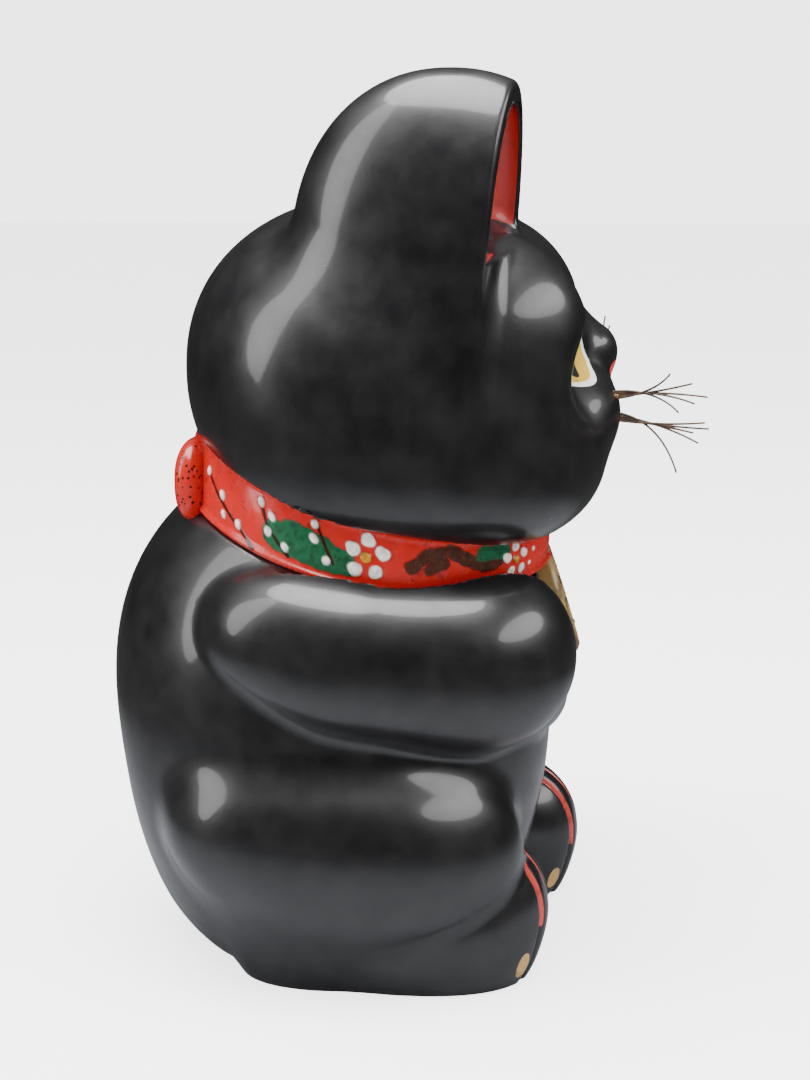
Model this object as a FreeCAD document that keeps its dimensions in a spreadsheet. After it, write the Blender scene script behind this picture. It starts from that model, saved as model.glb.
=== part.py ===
# Seated beckoning cat figurine: a black-glazed ceramic cat with a red collar, a gold coin and whiskers.
#
# Millimetres, +Z up. The cat faces -Y, so its right side is -X. The origin is on the floor, in the cat's
# middle plane, under the middle of the body. The cat is made the way a studio makes it: slip-cast hollow
# body and head, joined at the neck under the collar, with the limbs, ears, tail, collar, bow and coin cast
# or pressed by themselves and luted on, a base slab that closes the body, and whisker bristles glued in.
import FreeCAD, Part
import os
import re

VECTOR = FreeCAD.Vector
PARTS_FOLDER = "parts"
RIGHT, LEFT = -1, 1
TILT, UPRIGHT = (1, 0, 0), (0, 0, 1)
REACH = 600

# alias: (value, meaning). Positions are measured from the origin; "half" sizes are an ellipsoid's radii.
DIMENSIONS = {
    "wall": (5.5, "thickness of the cast walls"),
    "haunch_wall": (12, "thickness of the wall at the haunches"),
    "base_z": (-6, "height of the section at the base, which the floor trims"),
    "base_y": (20, "its middle, front to back"),
    "base_radius": (66, "its radius"),
    "hip_z": (28, "height of the section at the hips"),
    "hip_y": (25, "its middle, front to back"),
    "hip_radius": (77, "its radius"),
    "belly_z": (64, "height of the section at the belly"),
    "belly_y": (31, "its middle, front to back"),
    "belly_radius": (86, "its radius"),
    "waist_z": (100, "height of the section at the waist"),
    "waist_y": (29.5, "its middle, front to back"),
    "waist_radius": (88.5, "its radius"),
    "chest_z": (137, "height of the section at the chest"),
    "chest_y": (24.5, "its middle, front to back"),
    "chest_radius": (88, "its radius"),
    "shoulder_z": (165, "height of the section at the shoulders"),
    "shoulder_y": (19, "its middle, front to back"),
    "shoulder_radius": (80, "its radius"),
    "throat_z": (190, "height of the section at the throat"),
    "throat_y": (15, "its middle, front to back"),
    "throat_radius": (64, "its radius"),
    "haunch_inset": (28, "haunch's middle, in from the belly's side"),
    "haunch_y": (20, "middle of the haunch, front to back"),
    "haunch_z": (62, "height of the haunch's middle"),
    "haunch_half_width": (45, "haunch"),
    "haunch_half_depth": (77, "haunch"),
    "haunch_half_height": (52, "haunch"),
    "haunch_tilt": (12, "degrees that the haunch rises to the back"),
    "collar_y": (11.5, "middle of the collar, front to back"),
    "collar_z": (186, "height of the collar's middle"),
    "collar_tilt": (13.6, "degrees that the collar leans forward"),
    "collar_height": (27, "height of the collar band"),
    "collar_thickness": (4.5, "thickness of the collar band at its top"),
    "collar_flare": (3.5, "the band's lower edge stands out this much more than its top"),
    "neck_radius": (69.5, "outside of the neck, and bore of the collar band"),
    "neck_length": (44, "length of the neck, half of it on each casting"),
    "head_y": (5, "middle of the skull, front to back"),
    "head_rise": (65, "skull's middle, above the collar's"),
    "head_half_width": (94, "skull"),
    "head_half_depth": (85, "skull"),
    "head_half_height": (72, "skull"),
    "jaw_forward": (13, "jaw's middle, forward of the skull's"),
    "jaw_drop": (28, "jaw's middle, below the skull's"),
    "jaw_half_width": (93, "jaw and cheeks"),
    "jaw_half_depth": (79, "jaw and cheeks"),
    "jaw_half_height": (44, "jaw and cheeks"),
    "muzzle_drop": (14, "muzzle's middle, below the skull's"),
    "muzzle_reach": (12, "muzzle's front, forward of the skull's"),
    "muzzle_half_width": (34, "muzzle"),
    "muzzle_half_depth": (26, "muzzle"),
    "muzzle_half_height": (20, "muzzle"),
    "nose_rise": (8, "middle of the nose bridge, above the skull's"),
    "nose_half_width": (12, "nose bridge"),
    "nose_half_depth": (18, "nose bridge"),
    "nose_half_height": (12, "nose bridge"),
    "ear_inset": (34, "ear's middle, in from the skull's side"),
    "ear_setback": (58, "ear's middle, behind the skull's front"),
    "ear_foot": (48, "height of the ear's foot, above the skull's middle"),
    "ear_half_width": (30, "ear"),
    "ear_half_depth": (64, "ear's hood, from its middle to its back"),
    "ear_height": (74, "ear, from its foot to its top"),
    "ear_face": (20, "ear's open face, forward of its middle"),
    "ear_turn": (13, "degrees that the ear's open face turns outward"),
    "ear_rim": (5, "width of the rim round the ear's red hollow"),
    "ear_hollow": (9, "depth of the ear's red hollow"),
    "arm_inset": (24, "upper arm's middle, in from the chest's side"),
    "arm_y": (21, "middle of the upper arm, front to back"),
    "arm_rise": (7, "upper arm's middle, above the chest's"),
    "arm_half_width": (40, "upper arm"),
    "arm_half_depth": (57, "upper arm"),
    "arm_half_height": (35, "upper arm"),
    "forearm_inset": (38, "forearm's middle, in from the chest's side"),
    "forearm_forward": (48, "forearm's middle, forward of the upper arm's"),
    "forearm_drop": (7, "forearm's middle, below the upper arm's"),
    "forearm_half_width": (42, "forearm"),
    "forearm_half_depth": (47, "forearm"),
    "forearm_half_height": (33, "forearm"),
    "paw_side": (22, "resting paw's middle, from the middle plane"),
    "paw_forward": (23, "resting paw's middle, forward of the forearm's"),
    "paw_drop": (21, "resting paw's middle, below the forearm's"),
    "paw_half_width": (24, "paws"),
    "paw_half_depth": (25, "paws"),
    "paw_half_height": (23, "paws"),
    "lift_half_depth": (40, "raised arm's shoulder"),
    "lift_shoulder_y": (10, "raised arm's shoulder, front to back"),
    "lift_out": (14, "raised arm's elbow, out from the chest's side"),
    "lift_elbow_y": (-28, "raised arm's elbow, front to back"),
    "lift_elbow_rise": (47, "raised arm's elbow, above the chest's middle"),
    "lift_half_width": (26, "raised arm"),
    "lift_half_height": (48, "raised arm"),
    "lift_wrist_forward": (16, "raised wrist, forward of the elbow"),
    "lift_wrist_rise": (46, "raised wrist, above the elbow"),
    "lift_paw_forward": (11, "raised paw, forward of the wrist"),
    "lift_paw_rise": (32, "raised paw, above the wrist"),
    "foot_side": (48, "foot's middle, from the middle plane"),
    "foot_y": (-17, "middle of the right foot, front to back"),
    "left_foot_lead": (16, "left foot, forward of the right"),
    "foot_z": (19, "height of the foot's middle"),
    "foot_half_width": (30, "foot"),
    "foot_half_depth": (45, "foot"),
    "foot_half_height": (34, "foot"),
    "toe_half_width": (7.5, "toe"),
    "toe_half_depth": (10, "toe"),
    "toe_half_height": (20, "toe"),
    "toe_spacing": (11, "between neighbouring toes"),
    "toe_reach": (37, "inner toes' middles, forward of the foot's middle"),
    "toe_step": (5, "outer toes' middles, behind the inner toes'"),
    "toe_z": (17, "height of the toes' middles"),
    "tail_side": (10, "tail's middle, to the cat's left"),
    "tail_z": (77, "height of the tail's middle"),
    "tail_stand": (7, "tail's back, behind the belly's"),
    "tail_half_width": (24, "tail"),
    "tail_half_depth": (13, "tail"),
    "tail_half_height": (14, "tail"),
    "bow_knot_radius": (12, "knot of the bow"),
    "bow_loop_side": (19, "bow loop's middle, from the knot's"),
    "bow_loop_half_width": (19, "bow loop"),
    "bow_loop_half_depth": (10, "bow loop"),
    "bow_loop_half_height": (18, "bow loop"),
    "bow_drop": (3, "bow's middle, below the band's"),
    "coin_stand": (9, "coin's face, forward of the chest's front"),
    "coin_z": (145, "height of the coin's middle"),
    "coin_half_width": (21, "coin"),
    "coin_half_height": (29, "coin"),
    "coin_thickness": (11, "coin, before the chest takes its back"),
    "coin_tilt": (18, "degrees that the coin leans back at its top"),
    "slab_thickness": (8, "base slab"),
    "vent_radius": (10, "vent hole in the base slab"),
    "whisker_side": (20, "whisker roots, from the middle plane"),
    "whisker_gap": (8, "between the upper and lower whisker roots"),
    "whisker_radius": (0.4, "one bristle"),
    "whisker_spread": (0.9, "bristles' circle where they leave the glue"),
    "glue_radius": (2.6, "bead of glue round a whisker root"),
}

doc = FreeCAD.newDocument("beckoning_cat")


def make_sheet():
    """The driving dimensions, one row each: name, value with its alias, meaning."""
    sheet = doc.addObject("Spreadsheet::Sheet", "Sizes")
    for row, (alias, (value, meaning)) in enumerate(DIMENSIONS.items(), start=1):
        sheet.set(f"A{row}", alias.replace("_", " "))
        sheet.set(f"B{row}", str(value))
        sheet.setAlias(f"B{row}", alias)
        sheet.set(f"C{row}", meaning)
    doc.recompute()
    return sheet


sheet = make_sheet()


def size(alias):
    """A driving dimension's value, for shapes that are worked out here instead of by expressions."""
    return float(sheet.get(alias))


def expression(text):
    """Turns the aliases in a formula into references to the sheet."""
    return re.sub(r"[a-z_]+", lambda word: f"Sizes.{word[0]}" if word[0] in DIMENSIONS else word[0], text)


def place(obj, centre, turn_axis=None, turn=None):
    """Binds an object's position, and its turn about one axis, to the sheet."""
    if turn_axis:
        obj.Placement = FreeCAD.Placement(VECTOR(), FreeCAD.Rotation(VECTOR(*turn_axis), 1))
        obj.setExpression("Placement.Rotation.Angle", expression(turn))
    for axis, text in zip("xyz", centre):
        obj.setExpression(f"Placement.Base.{axis}", expression(text))
    return obj


def ellipsoid(name, centre, radii, turn_axis=None, turn=None):
    """An ellipsoid with radii along X, Y and Z, before it turns."""
    obj = doc.addObject("Part::Ellipsoid", name)
    for prop, text in zip(("Radius2", "Radius3", "Radius1"), radii):
        obj.setExpression(prop, expression(text))
    return place(obj, centre, turn_axis, turn)


def combine(kind, name, *objects):
    """A fusion ("Part::MultiFuse") or intersection ("Part::MultiCommon") of several objects."""
    obj = doc.addObject(kind, name)
    obj.Shapes = list(objects)
    return obj


def fuse(name, *objects):
    return combine("Part::MultiFuse", name, *objects)


def cut(name, base, *tools):
    """Takes the tools away from the base, one after another."""
    for number, tool in enumerate(tools, start=1):
        obj = doc.addObject("Part::Cut", name if number == len(tools) else f"{name}_cut_{number}")
        obj.Base = base
        obj.Tool = tool
        base = obj
    return base


def big_box(name, centre, turn_axis=None, turn=None, corner=(-REACH / 2, -REACH / 2, 0)):
    """A box much larger than the cat, with its corner set off from the given point, that trims a shape."""
    box = doc.addObject("Part::Box", name)
    box.Length = box.Width = box.Height = REACH
    box.Placement.Base = VECTOR(*corner)
    holder = doc.addObject("Part::Compound", name + "_turned")
    holder.Links = [box]
    return place(holder, centre, turn_axis, turn)


def side_name(side):
    return "right" if side == RIGHT else "left"


# ---------------------------------------------------------------- shared tools
COLLAR_CENTRE = ("0", "collar_y", "collar_z")


def foot_of_collar(height):
    """Where something of that height starts, on the collar's tilted axis, to be centred on the collar."""
    half = f"( {height} ) / 2"
    return ("0", f"collar_y + {half} * sin(collar_tilt)", f"collar_z - {half} * cos(collar_tilt)")


def collar_cylinder(name, radius, height):
    """A cylinder on the collar's tilted axis, centred on the collar."""
    obj = doc.addObject("Part::Cylinder", name)
    obj.setExpression("Radius", expression(radius))
    obj.setExpression("Height", expression(height))
    return place(obj, foot_of_collar(height), TILT, "collar_tilt")


def band_outside():
    """A cone on the collar's tilted axis, wider at its lower edge."""
    cone = doc.addObject("Part::Cone", "band_outside")
    cone.setExpression("Radius1", expression("neck_radius + collar_thickness + collar_flare"))
    cone.setExpression("Radius2", expression("neck_radius + collar_thickness"))
    cone.setExpression("Height", expression("collar_height"))
    return place(cone, foot_of_collar("collar_height"), TILT, "collar_tilt")


floor = big_box("under_floor", ("0", "0", "0"), corner=(-REACH / 2, -REACH / 2, -REACH))
above_neck = big_box("above_neck_joint", COLLAR_CENTRE, TILT, "collar_tilt")
band_cone = band_outside()
neck = collar_cylinder("neck", "neck_radius", "neck_length")
neck_bore = collar_cylinder("neck_bore", "neck_radius - wall", "neck_length * 2")


# ---------------------------------------------------------------- body and head castings
SECTIONS = ("base", "hip", "belly", "waist", "chest", "shoulder", "throat")


def haunch(side, prefix, wall):
    centre = (f"{side} * ( belly_radius - haunch_inset )", "haunch_y", "haunch_z")
    radii = [f"haunch_half_{way} - {wall}" for way in ("width", "depth", "height")]
    return ellipsoid(f"{prefix}_{side_name(side)}", centre, radii, TILT, "haunch_tilt")


def torso(prefix, wall, haunch_wall):
    """A smooth skin over round sections, and the haunches, each smaller all round by the wall."""
    rings = []
    for section in SECTIONS:
        ring = doc.addObject("Part::Circle", f"{prefix}_{section}")
        ring.setExpression("Radius", expression(f"{section}_radius - {wall}"))
        rings.append(place(ring, ("0", f"{section}_y", f"{section}_z")))
    skin = doc.addObject("Part::Loft", prefix + "_skin")
    skin.Sections = rings
    skin.Solid = True
    return [skin, *(haunch(side, prefix + "_haunch", haunch_wall) for side in (RIGHT, LEFT))]


SKULL_Z = "( collar_z + head_rise )"
SKULL_FRONT = "( head_y - head_half_depth )"


def skull(prefix, wall):
    """Skull and jaw, each smaller all round by the wall."""
    cranium = ellipsoid(prefix + "_cranium", ("0", "head_y", SKULL_Z),
                        [f"head_half_{way} - {wall}" for way in ("width", "depth", "height")])
    jaw = ellipsoid(prefix + "_jaw", ("0", "head_y - jaw_forward", SKULL_Z + " - jaw_drop"),
                    [f"jaw_half_{way} - {wall}" for way in ("width", "depth", "height")])
    return [cranium, jaw]


def face():
    """Muzzle and nose bridge."""
    muzzle = ellipsoid("muzzle",
                       ("0", f"{SKULL_FRONT} - muzzle_reach + muzzle_half_depth", SKULL_Z + " - muzzle_drop"),
                       ("muzzle_half_width", "muzzle_half_depth", "muzzle_half_height"))
    nose = ellipsoid("nose",
                     ("0", f"{SKULL_FRONT} - muzzle_reach + nose_half_depth", SKULL_Z + " + nose_rise"),
                     ("nose_half_width", "nose_half_depth", "nose_half_height"))
    return [muzzle, nose]


body_solid = cut("body_solid", fuse("body_mass", *torso("outer", "0", "0"), neck), floor, above_neck)
body = cut("body_casting", body_solid, *torso("inner", "wall", "haunch_wall"), neck_bore)

head_solid = doc.addObject("Part::MultiCommon", "head_solid")
skull_above_band = cut("skull_above_band", fuse("skull_mass", *skull("outer", "0"), *face()), band_cone)
head_solid.Shapes = [fuse("head_mass", skull_above_band, neck), above_neck]
head = cut("head_casting", head_solid, *skull("inner", "wall"), neck_bore)


# ---------------------------------------------------------------- base slab
def base_slab():
    """Closes the body's open underside, and has the vent hole that a closed casting needs in the kiln."""
    plate = doc.addObject("Part::Cylinder", "slab_plate")
    plate.setExpression("Radius", expression("belly_radius * 2"))
    plate.setExpression("Height", expression("slab_thickness"))
    opening = torso("slab_fit", "wall", "haunch_wall")[0]
    disc = combine("Part::MultiCommon", "slab_disc", plate, opening)
    vent = doc.addObject("Part::Cylinder", "vent_hole")
    vent.setExpression("Radius", expression("vent_radius"))
    vent.setExpression("Height", expression("slab_thickness * 3"))
    place(vent, ("0", "base_y", "-slab_thickness"))
    return cut("base_slab", disc, vent)


slab = base_slab()


# ---------------------------------------------------------------- ears
def ear(side):
    """A hood, open at the front where a flat face turns a little outward, with a shallow red hollow."""
    word = side_name(side)
    middle = (f"{side} * ( head_half_width - ear_inset )", f"{SKULL_FRONT} + ear_setback",
              f"{SKULL_Z} + ear_foot")
    turn = f"{side} * ear_turn"
    face_middle = (f"{middle[0]} + ear_face * sin({turn})", f"{middle[1]} - ear_face * cos({turn})",
                   middle[2])
    hood = ellipsoid(f"ear_hood_{word}", middle, ("ear_half_width", "ear_half_depth", "ear_height"),
                     UPRIGHT, turn)
    front = big_box(f"ear_front_{word}", face_middle, UPRIGHT, turn, (-REACH / 2, -REACH, -REACH / 2))
    hollow = ellipsoid(f"ear_hollow_{word}", face_middle,
                       ("ear_half_width - ear_rim", "ear_hollow", "ear_height - ear_rim * 2"), UPRIGHT, turn)
    behind = "( ear_face - ear_hollow - wall )"
    core_front = (f"{middle[0]} + {behind} * sin({turn})", f"{middle[1]} - {behind} * cos({turn})", middle[2])
    inside = ellipsoid(f"ear_inside_{word}", middle,
                       ("ear_half_width - wall", "ear_half_depth - wall", "ear_height - wall"), UPRIGHT, turn)
    keep = big_box(f"ear_core_front_{word}", core_front, UPRIGHT, turn, (-REACH / 2, -REACH, -REACH / 2))
    return cut(f"{word}_ear", hood, front, hollow, cut(f"ear_core_{word}", inside, keep), head_solid)


ears = [ear(side) for side in (RIGHT, LEFT)]


# ---------------------------------------------------------------- arms
PAW = ("paw_half_width", "paw_half_depth", "paw_half_height")


def shrunk(radii, wall):
    return [f"{radius} - {wall}" for radius in radii]


def right_arm(prefix, wall):
    """The lowered arm: it folds across the front, and its paw rests under the coin."""
    arm_z = "chest_z + arm_rise"
    upper = ellipsoid(f"{prefix}_upper_arm", ("-( chest_radius - arm_inset )", "arm_y", arm_z),
                      shrunk(("arm_half_width", "arm_half_depth", "arm_half_height"), wall),
                      TILT, "collar_tilt")
    fore_y, fore_z = "arm_y - forearm_forward", f"{arm_z} - forearm_drop"
    fore = ellipsoid(f"{prefix}_forearm", ("-( chest_radius - forearm_inset )", fore_y, fore_z),
                     shrunk(("forearm_half_width", "forearm_half_depth", "forearm_half_height"), wall))
    paw = ellipsoid(f"{prefix}_paw", ("-paw_side", f"{fore_y} - paw_forward", f"{fore_z} - paw_drop"),
                    shrunk(PAW, wall))
    return [upper, fore, paw]


def left_arm(prefix, wall):
    """The raised arm: it goes up beside the head, and its paw bends forward at eye level."""
    shoulder = ellipsoid(f"{prefix}_shoulder",
                         ("chest_radius - arm_inset", "lift_shoulder_y", "chest_z + arm_rise"),
                         shrunk(("arm_half_width", "lift_half_depth", "arm_half_height"), wall))
    out, elbow_z = "chest_radius + lift_out", "chest_z + lift_elbow_rise"
    slim = shrunk(("lift_half_width", "lift_half_width", "lift_half_height"), wall)
    elbow = ellipsoid(f"{prefix}_elbow", (out, "lift_elbow_y", elbow_z), slim, TILT, "lift_wrist_forward")
    wrist_y, wrist_z = "lift_elbow_y - lift_wrist_forward", f"{elbow_z} + lift_wrist_rise"
    wrist = ellipsoid(f"{prefix}_wrist", (out, wrist_y, wrist_z), slim, TILT, "lift_wrist_forward")
    paw = ellipsoid(f"{prefix}_raised_paw",
                    (out, f"{wrist_y} - lift_paw_forward", f"{wrist_z} + lift_paw_rise"), shrunk(PAW, wall))
    return [shoulder, elbow, wrist, paw]


arm_right = cut("right_arm", fuse("right_arm_mass", *right_arm("right", "0")),
                band_cone, body_solid, head_solid, *right_arm("right_inner", "wall"))
arm_left = cut("left_arm", fuse("left_arm_mass", *left_arm("left", "0")),
               band_cone, body_solid, head_solid, *left_arm("left_inner", "wall"))


# ---------------------------------------------------------------- feet and tail
TOES = (-1.5, -0.5, 0.5, 1.5)


def foot(side):
    """A foot with four toes, flat on the floor, pushed in under the haunch."""
    word = side_name(side)
    middle = "foot_y" if side == RIGHT else "foot_y - left_foot_lead"
    x = f"{side} * foot_side"
    pieces = [ellipsoid(f"foot_{word}", (x, middle, "foot_z"),
                        ("foot_half_width", "foot_half_depth", "foot_half_height"))]
    for number, across in enumerate(TOES, start=1):
        step = "toe_step" if abs(across) > 1 else "0"
        centre = (f"{x} + {across} * toe_spacing", f"{middle} - toe_reach + {step}", "toe_z")
        pieces.append(ellipsoid(f"toe_{word}_{number}", centre,
                                ("toe_half_width", "toe_half_depth", "toe_half_height")))
    return cut(f"{word}_foot", fuse(f"foot_mass_{word}", *pieces), body_solid, floor)


feet = [foot(side) for side in (RIGHT, LEFT)]
tail_mass = ellipsoid("tail_mass",
                      ("tail_side", "belly_y + belly_radius + tail_stand - tail_half_depth", "tail_z"),
                      ("tail_half_width", "tail_half_depth", "tail_half_height"))
tail = cut("tail", tail_mass, body_solid)


# ---------------------------------------------------------------- collar, bow and coin
band = cut("collar_band", band_cone, collar_cylinder("band_bore", "neck_radius", "collar_height * 2"),
           body_solid)


def bow():
    """A knot with a loop each side, luted on the back of the collar band."""
    reach = "( neck_radius + collar_thickness )"
    y = f"collar_y + {reach} * cos(collar_tilt)"
    z = f"collar_z + {reach} * sin(collar_tilt) - bow_drop"
    knot = ellipsoid("bow_knot", ("0", y, z), ("bow_knot_radius", "bow_knot_radius", "bow_knot_radius"),
                     TILT, "collar_tilt")
    loops = [ellipsoid(f"bow_loop_{side_name(side)}", (f"{side} * bow_loop_side", f"{y} - 2", z),
                       ("bow_loop_half_width", "bow_loop_half_depth", "bow_loop_half_height"),
                       TILT, "collar_tilt")
             for side in (RIGHT, LEFT)]
    return cut("collar_bow", fuse("bow_mass", knot, *loops), band_cone, body_solid, head_solid)


bow_piece = bow()
def oval_plate():
    """An upright oval plate, thicker than what shows of it, so that it beds in the chest and the paw."""
    oval = doc.addObject("Part::Ellipse", "coin_outline")
    oval.setExpression("MajorRadius", expression("coin_half_height"))
    oval.setExpression("MinorRadius", expression("coin_half_width"))
    oval.Placement.Rotation = FreeCAD.Rotation(VECTOR(0, 0, 1), VECTOR(1, 0, 0), VECTOR(0, 1, 0))
    plate = doc.addObject("Part::Extrusion", "coin_plate")
    plate.Base = oval
    plate.DirMode = "Custom"
    plate.Dir = VECTOR(0, 1, 0)
    plate.setExpression("LengthFwd", expression("coin_thickness"))
    plate.Solid = True
    return place(plate, ("0", "chest_y - chest_radius - coin_stand", "coin_z"), TILT, "-coin_tilt")


coin = cut("koban_coin", oval_plate(), band_cone, body_solid, arm_right)


# ---------------------------------------------------------------- whiskers
def whisker_root(side, row):
    """The point on the muzzle where a bundle leaves it. Row 1 is the upper bundle, -1 the lower."""
    reach = size("muzzle_half_depth")
    middle_y = size("head_y") - size("head_half_depth") - size("muzzle_reach") + reach
    middle_z = size("collar_z") + size("head_rise") - size("muzzle_drop")
    across = size("whisker_side") / size("muzzle_half_width")
    up = row * size("whisker_gap") / 2 / size("muzzle_half_height")
    return VECTOR(side * size("whisker_side"), middle_y - reach * (1 - across**2 - up**2) ** 0.5,
                  middle_z + up * size("muzzle_half_height"))


# How far each bristle of a bundle goes outward, forward and up, and how far it bows off the straight line.
BUNDLES = {
    (RIGHT, 1): [(20, 24, 12, 2), (19, 33, 8, 2), (22, 39, 3, 3), (20, 34, 0, 3), (18, 28, -4, 3)],
    (RIGHT, -1): [(24, 38, 1, 4), (21, 40, -2, 3), (19, 34, -4, 3), (20, 36, -8, 4), (16, 28, -21, 7)],
    (LEFT, 1): [(38, 3, 24, 3), (36, 5, 20, 3), (40, 1, 10, 2), (39, -4, 6, 2), (36, -8, 2, 2)],
    (LEFT, -1): [(40, -2, 4, 2), (41, -6, 0, 2), (39, -10, -5, 3), (37, -12, -9, 3), (34, -13, -14, 4)],
}


def bristle(root, reach, number, side):
    """One round bristle along an arc from the root, starting on a small circle round it."""
    outward, forward, up, bow_height = reach
    start = root + VECTOR(0, 0, size("whisker_spread") * (number - 2))
    end = root + VECTOR(side * outward, -forward, up)
    middle = (start + end) * 0.5 + VECTOR(0, 0, bow_height)
    path = Part.Wire([Part.Arc(start, middle, end).toShape()])
    first = path.Edges[0]
    ring = Part.Wire([Part.makeCircle(size("whisker_radius"), start, first.tangentAt(first.FirstParameter))])
    return path.makePipeShell([ring], True, False)


def whiskers(side, row):
    """A bundle of bristles and the bead of glue that holds it in the muzzle, as two separate pieces."""
    word = f"{side_name(side)}_{'upper' if row == 1 else 'lower'}"
    root = whisker_root(side, row)
    bead = Part.makeSphere(size("glue_radius"), root).cut(head_solid.Shape)
    strands = [bristle(root, reach, number, side) for number, reach in enumerate(BUNDLES[side, row])]
    strands = [s.cut(Part.makeCompound([bead, head_solid.Shape])) for s in strands]
    glue = doc.addObject("Part::Feature", f"whisker_glue_{word}")
    glue.Shape = bead
    bundle = doc.addObject("Part::Feature", f"whiskers_{word}")
    bundle.Shape = Part.makeCompound([solid for s in strands for solid in s.Solids])
    return [bundle, glue]


doc.recompute()
whisker_pieces = [piece for side in (RIGHT, LEFT) for row in (1, -1) for piece in whiskers(side, row)]

SUBPARTS = [body, head, slab, *ears, arm_right, arm_left, *feet, tail, band, bow_piece, coin, *whisker_pieces]


def check(subparts):
    """Stops if any object of the document failed, or a sub-part has no valid solid."""
    failed = [o.Name for o in doc.Objects if "Invalid" in o.State or "Error" in o.State]
    if failed:
        raise RuntimeError(f"objects that failed: {failed}")
    for obj in subparts:
        if obj.Shape.isNull() or not obj.Shape.isValid() or not obj.Shape.Solids:
            raise RuntimeError(f"{obj.Name} has no valid solid")


def export(subparts):
    os.makedirs(PARTS_FOLDER, exist_ok=True)
    for obj in subparts:
        obj.Label = obj.Name
        shape = Part.makeCompound(obj.Shape.Solids)
        shape.exportStep(os.path.join(PARTS_FOLDER, obj.Label + ".step"))
        box = obj.Shape.optimalBoundingBox()
        spans = "  ".join(f"{low:.1f}..{high:.1f}" for low, high in
                          ((box.XMin, box.XMax), (box.YMin, box.YMax), (box.ZMin, box.ZMax)))
        print(f"{obj.Label:26s} {len(obj.Shape.Solids)} solids  {obj.Shape.Volume / 1000:9.2f} cm3  {spans}")


doc.recompute()
check(SUBPARTS)
export(SUBPARTS)
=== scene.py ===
"""Looks for the seated beckoning cat: black glaze, painted face, red enamelled collar, coin and whiskers.

Shapes are written as distance fields in millimetres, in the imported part's frame (+Z up, the cat faces -Y).
Each casting is meshed from the one smooth surface that they all share, cut where castings are luted together,
and closed with a wall, so the glaze runs on without a step from one casting to the next.
"""
import math

import bpy
import numpy as np
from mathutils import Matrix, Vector


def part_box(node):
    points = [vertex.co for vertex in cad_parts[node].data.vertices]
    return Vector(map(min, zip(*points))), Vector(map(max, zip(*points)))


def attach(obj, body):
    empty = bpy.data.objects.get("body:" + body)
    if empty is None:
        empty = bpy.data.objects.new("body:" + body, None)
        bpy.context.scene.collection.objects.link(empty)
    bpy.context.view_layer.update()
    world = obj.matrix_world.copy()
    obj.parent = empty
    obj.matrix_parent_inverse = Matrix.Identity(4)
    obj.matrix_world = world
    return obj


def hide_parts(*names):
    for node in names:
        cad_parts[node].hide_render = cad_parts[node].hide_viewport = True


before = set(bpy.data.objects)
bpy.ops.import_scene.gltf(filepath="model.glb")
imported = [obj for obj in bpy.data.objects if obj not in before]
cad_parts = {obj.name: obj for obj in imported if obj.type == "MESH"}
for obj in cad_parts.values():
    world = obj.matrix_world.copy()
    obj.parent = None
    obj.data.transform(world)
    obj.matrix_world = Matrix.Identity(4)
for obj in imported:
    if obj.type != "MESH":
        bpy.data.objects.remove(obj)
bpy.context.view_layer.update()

MM = 0.001
FACTOR = 1.0
RIGHT, LEFT = -1, 1


# ================================================================ places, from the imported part
def node_box(node):
    """(lowest, highest) corner of a CAD node, in mm."""
    low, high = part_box(node)
    return np.array(low) / MM, np.array(high) / MM


HEAD_HIGH = node_box("head_casting")[1]
BODY_HIGH = node_box("body_casting")[1]
EAR_HIGH = node_box("right_ear")[1]
SKULL = np.array([0.0, HEAD_HIGH[1] - 85, HEAD_HIGH[2] - 72])
COLLAR = SKULL + (0, 4, -62)
BODY = np.array([0.0, BODY_HIGH[1] - 91, 66.0])
LEFT_FOOT_LEAD = 16


# ================================================================ distance fields
def turn_about(axis, degrees):
    """A turn about X, Y or Z, as the matrix that takes a row of coordinates into the turned frame."""
    angle = math.radians(degrees)
    c, s = math.cos(angle), math.sin(angle)
    matrices = {"X": [[1, 0, 0], [0, c, -s], [0, s, c]],
                "Y": [[c, 0, s], [0, 1, 0], [-s, 0, c]],
                "Z": [[c, -s, 0], [s, c, 0], [0, 0, 1]]}
    return np.array(matrices[axis])


def lump(centre, radii, power=2.0, turn=None):
    """A rounded solid: an ellipsoid at power 2, boxier above it."""
    centre, radii = np.array(centre, float), np.array(radii, float)

    def distance(p):
        q = p - centre
        if turn is not None:
            q = q @ turn
        q = np.abs(q) / radii + 1e-6
        level = (q ** power).sum(-1) ** (1 / power)
        slope = np.sqrt(((q ** (power - 1) / radii) ** 2).sum(-1)) / level ** (power - 1)
        return (level - 1) / slope
    return distance


def limb(start, end, start_radius, end_radius):
    """A round bar whose radius changes from one end to the other."""
    start, end = np.array(start, float), np.array(end, float)
    along = end - start

    def distance(p):
        share = np.clip((p - start) @ along / (along @ along), 0, 1)
        nearest = start + share[..., None] * along
        return np.linalg.norm(p - nearest, axis=-1) - (start_radius + share * (end_radius - start_radius))
    return distance


def soft_min(a, b, k):
    """The smaller of two distances, rounded over where they are within k of each other."""
    h = np.maximum(k - np.abs(a - b), 0) / k
    return np.minimum(a, b) - h * h * k / 4


def soft_max(a, b, k):
    return -soft_min(-a, -b, k)


def join(k, *fields):
    """Solids that melt into each other over about k."""
    def distance(p):
        d = fields[0](p)
        for field in fields[1:]:
            d = soft_min(d, field(p), k)
        return d
    return distance


def carve(k, field, *tools):
    """A solid with hollows pressed into it, their lips rounded over about k."""
    def distance(p):
        d = field(p)
        for tool in tools:
            d = soft_max(d, -tool(p), k)
        return d
    return distance


# ================================================================ the collar's run round the neck
COLLAR_WALL = 5.0


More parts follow.
